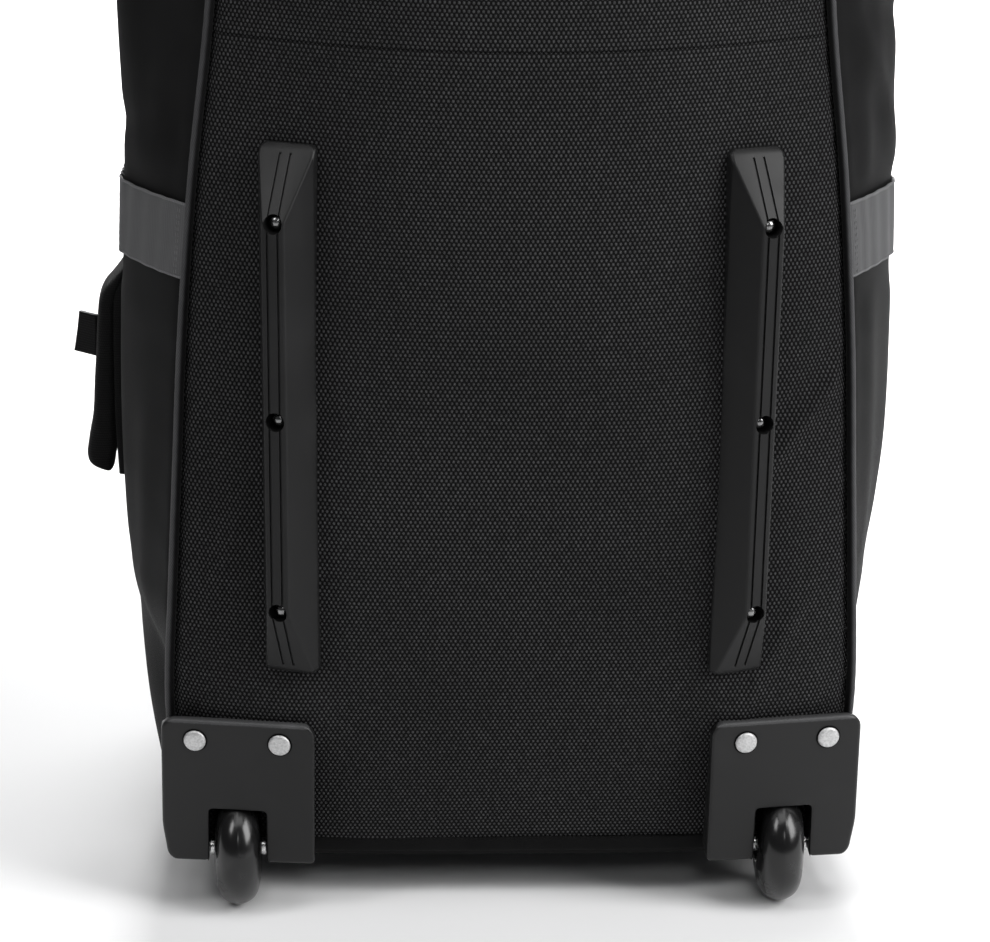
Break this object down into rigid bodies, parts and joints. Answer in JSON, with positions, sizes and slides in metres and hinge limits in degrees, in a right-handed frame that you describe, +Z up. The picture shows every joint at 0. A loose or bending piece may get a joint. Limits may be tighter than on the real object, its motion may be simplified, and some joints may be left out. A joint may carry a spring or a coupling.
{
  "type": "golf travel bag",
  "caption": "Upright wheeled golf travel bag in black cloth, with skid rails, corner wheel guards, grey webbing bands and a slack side handle.",
  "frame": {"origin": "on the floor under the middle of the bag's bounding box", "axes": "+Z up, -Y towards the wheeled back, +X to the right as seen from the back"},
  "size_m": [0.4157, 0.3093, 1.29],
  "materials": {
    "ballistic_cloth": "coarse weave",
    "side_cloth": "smooth cloth",
    "piping_cord": "covered cord",
    "grey_webbing": "ribbed",
    "black_webbing": "ribbed",
    "moulded_plastic": "satin",
    "wheel_rubber": "glossy",
    "bright_metal": "polished"
  },
  "bodies": {
    "bag": {"lower_back_panel": "ballistic_cloth", "upper_back_panel": "ballistic_cloth", "front_panel": "side_cloth", "left_side_panel": "side_cloth", "right_side_panel": "side_cloth", "top_panel": "side_cloth", "back_piping": "piping_cord", "front_piping": "piping_cord", "base_panel": "moulded_plastic", "left_band": "grey_webbing", "right_band": "grey_webbing", "side_handle": "black_webbing", "handle_tab": "black_webbing", "front_zip": "black_webbing", "left_wheel_guard": "moulded_plastic", "right_wheel_guard": "moulded_plastic", "left_axle": "bright_metal", "right_axle": "bright_metal", "guard_rivet_1": "bright_metal", "guard_rivet_2": "bright_metal", "guard_rivet_3": "bright_metal", "guard_rivet_4": "bright_metal", "rail_rivet_1": "bright_metal", "rail_rivet_2": "bright_metal", "rail_rivet_3": "bright_metal", "rail_rivet_4": "bright_metal", "rail_rivet_5": "bright_metal", "rail_rivet_6": "bright_metal", "left_skid_rail": "moulded_plastic", "right_skid_rail": "moulded_plastic", "left_front_foot": "moulded_plastic", "right_front_foot": "moulded_plastic"},
    "left_wheel_body": {"left_wheel": "wheel_rubber"},
    "right_wheel_body": {"right_wheel": "wheel_rubber"}
  },
  "joints": [
    {"name": "left_wheel_spin", "type": "hinge", "parent": "bag", "child": "left_wheel_body", "pos_m": [-0.1253, -0.117, 0.0305], "axis": [1, 0, 0], "continuous": true},
    {"name": "right_wheel_spin", "type": "hinge", "parent": "bag", "child": "right_wheel_body", "pos_m": [0.1513, -0.117, 0.0305], "axis": [1, 0, 0], "continuous": true}
  ]
}
